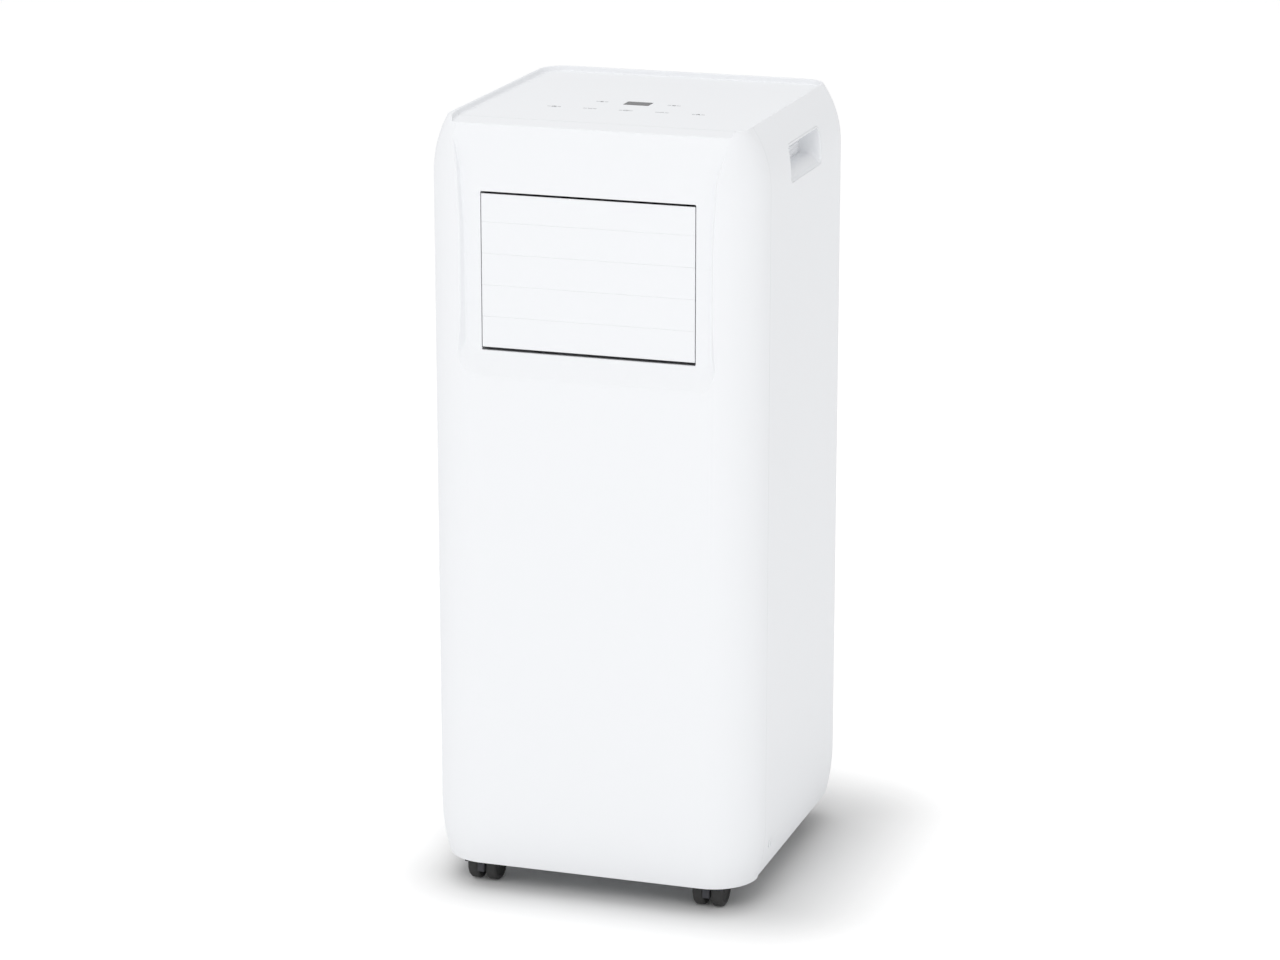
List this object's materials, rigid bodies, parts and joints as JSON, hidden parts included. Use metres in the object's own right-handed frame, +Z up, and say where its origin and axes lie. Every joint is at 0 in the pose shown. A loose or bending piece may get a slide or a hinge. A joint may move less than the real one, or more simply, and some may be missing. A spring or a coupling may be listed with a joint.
{
  "type": "portable air conditioner",
  "caption": "Slim upright portable air conditioner on castors, with a flush slatted louvre, touch controls under a recessed top, side handles, rear intake grilles and a round exhaust outlet",
  "frame": {"origin": "on the floor, under the centre of the cabinet", "axes": "+Z is up, the louvre faces -Y, +X is to the viewer's right when facing the front"},
  "size_m": [0.302, 0.297, 0.7],
  "materials": {
    "white_plastic": "satin moulded ABS, cool white",
    "pale_plastic": "plain moulded plastic",
    "dark_window": "glossy tinted window",
    "dark_plastic": "charcoal plastic",
    "wheel_plastic": "charcoal nylon",
    "black_rubber": "black rubber",
    "filter_mesh": "woven nylon mesh",
    "circuit_board": "green laminate",
    "galvanised_sheet": "galvanised sheet",
    "black_enamel": "black enamel",
    "copper": "drawn copper tube",
    "fin_aluminium": "fins and cans",
    "zinc_steel": "zinc-plated steel"
  },
  "bodies": {
    "cabinet": {"accumulator": "black_enamel", "base_pan": "galvanised_sheet", "capillary_tube": "copper", "compressor": "black_enamel", "compressor_mount_1": "black_rubber", "compressor_mount_2": "black_rubber", "compressor_mount_3": "black_rubber", "condenser_coil": "fin_aluminium", "control_board": "circuit_board", "cool_fan_housing": "pale_plastic", "cool_fan_motor": "zinc_steel", "cord_gland": "dark_plastic", "discharge_pipe": "copper", "display_lens": "dark_window", "display_module": "dark_plastic", "drain_port": "pale_plastic", "drip_tray": "pale_plastic", "evaporator_coil": "fin_aluminium", "exhaust_collar": "white_plastic", "exhaust_fan_housing": "pale_plastic", "exhaust_fan_motor": "zinc_steel", "fan_deck": "galvanised_sheet", "filter_drier": "copper", "front_shell": "white_plastic", "handle_cup_left": "white_plastic", "handle_cup_right": "white_plastic", "liquid_pipe": "copper", "louvre_frame": "pale_plastic", "louvre_motor": "zinc_steel", "power_box": "pale_plastic", "rear_screw_left": "zinc_steel", "rear_screw_right": "zinc_steel", "rear_shell": "white_plastic", "run_capacitor": "fin_aluminium", "side_screw_left": "zinc_steel", "side_screw_right": "zinc_steel", "suction_pipe": "copper", "top_cover": "white_plastic"},
    "louvre_blade_1": {"louvre_blade_1": "white_plastic"},
    "louvre_blade_2": {"louvre_blade_2": "white_plastic"},
    "louvre_blade_3": {"louvre_blade_3": "white_plastic"},
    "louvre_blade_4": {"louvre_blade_4": "white_plastic"},
    "louvre_blade_5": {"louvre_blade_5": "white_plastic"},
    "louvre_link": {"louvre_link": "dark_plastic"},
    "castor_hood_front_left": {"castor_hood_front_left": "dark_plastic"},
    "castor_wheels_front_left": {"castor_wheels_front_left": "wheel_plastic"},
    "castor_hood_front_right": {"castor_hood_front_right": "dark_plastic"},
    "castor_wheels_front_right": {"castor_wheels_front_right": "wheel_plastic"},
    "castor_hood_rear_left": {"castor_hood_rear_left": "dark_plastic"},
    "castor_wheels_rear_left": {"castor_wheels_rear_left": "wheel_plastic"},
    "castor_hood_rear_right": {"castor_hood_rear_right": "dark_plastic"},
    "castor_wheels_rear_right": {"castor_wheels_rear_right": "wheel_plastic"},
    "exhaust_fan": {"exhaust_fan": "pale_plastic"},
    "cool_fan": {"cool_fan": "pale_plastic"},
    "upper_grille": {"upper_grille": "white_plastic", "upper_filter": "filter_mesh"},
    "lower_grille": {"lower_grille": "white_plastic", "lower_filter": "filter_mesh"},
    "drain_plug": {"drain_plug": "black_rubber"}
  },
  "joints": [
    {"name": "louvre_blade_1_pivot", "type": "hinge", "parent": "cabinet", "child": "louvre_blade_1", "pos_m": [0, -0.1335, 0.5141], "axis": [1, 0, 0], "range_deg": [0, 75]},
    {"name": "louvre_blade_2_pivot", "type": "hinge", "parent": "cabinet", "child": "louvre_blade_2", "pos_m": [0, -0.1335, 0.5418], "axis": [1, 0, 0], "range_deg": [0, 75]},
    {"name": "louvre_blade_3_pivot", "type": "hinge", "parent": "cabinet", "child": "louvre_blade_3", "pos_m": [0, -0.1335, 0.5695], "axis": [1, 0, 0], "range_deg": [0, 75]},
    {"name": "louvre_blade_4_pivot", "type": "hinge", "parent": "cabinet", "child": "louvre_blade_4", "pos_m": [0, -0.1335, 0.5972], "axis": [1, 0, 0], "range_deg": [0, 75]},
    {"name": "louvre_blade_5_pivot", "type": "hinge", "parent": "cabinet", "child": "louvre_blade_5", "pos_m": [0, -0.1335, 0.6249], "axis": [1, 0, 0], "range_deg": [0, 75]},
    {"name": "louvre_link_pin", "type": "hinge", "parent": "louvre_blade_1", "child": "louvre_link", "pos_m": [-0.1041, -0.1215, 0.5141], "axis": [1, 0, 0], "range_deg": [-75, 0]},
    {"name": "castor_swivel_front_left", "type": "hinge", "parent": "cabinet", "child": "castor_hood_front_left", "pos_m": [-0.106, -0.106, 0.043], "axis": [0, 0, 1], "continuous": true},
    {"name": "castor_axle_front_left", "type": "hinge", "parent": "castor_hood_front_left", "child": "castor_wheels_front_left", "pos_m": [-0.106, -0.114, 0.017], "axis": [1, 0, 0], "continuous": true},
    {"name": "castor_swivel_front_right", "type": "hinge", "parent": "cabinet", "child": "castor_hood_front_right", "pos_m": [0.106, -0.106, 0.043], "axis": [0, 0, 1], "continuous": true},
    {"name": "castor_axle_front_right", "type": "hinge", "parent": "castor_hood_front_right", "child": "castor_wheels_front_right", "pos_m": [0.106, -0.114, 0.017], "axis": [1, 0, 0], "continuous": true},
    {"name": "castor_swivel_rear_left", "type": "hinge", "parent": "cabinet", "child": "castor_hood_rear_left", "pos_m": [-0.106, 0.106, 0.043], "axis": [0, 0, 1], "continuous": true},
    {"name": "castor_axle_rear_left", "type": "hinge", "parent": "castor_hood_rear_left", "child": "castor_wheels_rear_left", "pos_m": [-0.106, 0.098, 0.017], "axis": [1, 0, 0], "continuous": true},
    {"name": "castor_swivel_rear_right", "type": "hinge", "parent": "cabinet", "child": "castor_hood_rear_right", "pos_m": [0.106, 0.106, 0.043], "axis": [0, 0, 1], "continuous": true},
    {"name": "castor_axle_rear_right", "type": "hinge", "parent": "castor_hood_rear_right", "child": "castor_wheels_rear_right", "pos_m": [0.106, 0.098, 0.017], "axis": [1, 0, 0], "continuous": true},
    {"name": "exhaust_fan_shaft", "type": "hinge", "parent": "cabinet", "child": "exhaust_fan", "pos_m": [0, 0.0211, 0.3], "axis": [0, 0, 1], "continuous": true},
    {"name": "cool_fan_shaft", "type": "hinge", "parent": "cabinet", "child": "cool_fan", "pos_m": [0, 0.06, 0.5555], "axis": [0, 1, 0], "continuous": true},
    {"name": "upper_grille_pull", "type": "slide", "parent": "cabinet", "child": "upper_grille", "axis": [0, 1, 0], "range_m": [0, 0.06]},
    {"name": "lower_grille_pull", "type": "slide", "parent": "cabinet", "child": "lower_grille", "axis": [0, 1, 0], "range_m": [0, 0.06]},
    {"name": "drain_plug_pull", "type": "slide", "parent": "cabinet", "child": "drain_plug", "axis": [0, 1, 0], "range_m": [0, 0.03]}
  ],
  "couplings": [
    {"joint": "louvre_blade_2_pivot", "follows": "louvre_blade_1_pivot", "ratio": 1},
    {"joint": "louvre_blade_3_pivot", "follows": "louvre_blade_1_pivot", "ratio": 1},
    {"joint": "louvre_blade_4_pivot", "follows": "louvre_blade_1_pivot", "ratio": 1},
    {"joint": "louvre_blade_5_pivot", "follows": "louvre_blade_1_pivot", "ratio": 1},
    {"joint": "louvre_link_pin", "follows": "louvre_blade_1_pivot", "ratio": -1}
  ]
}
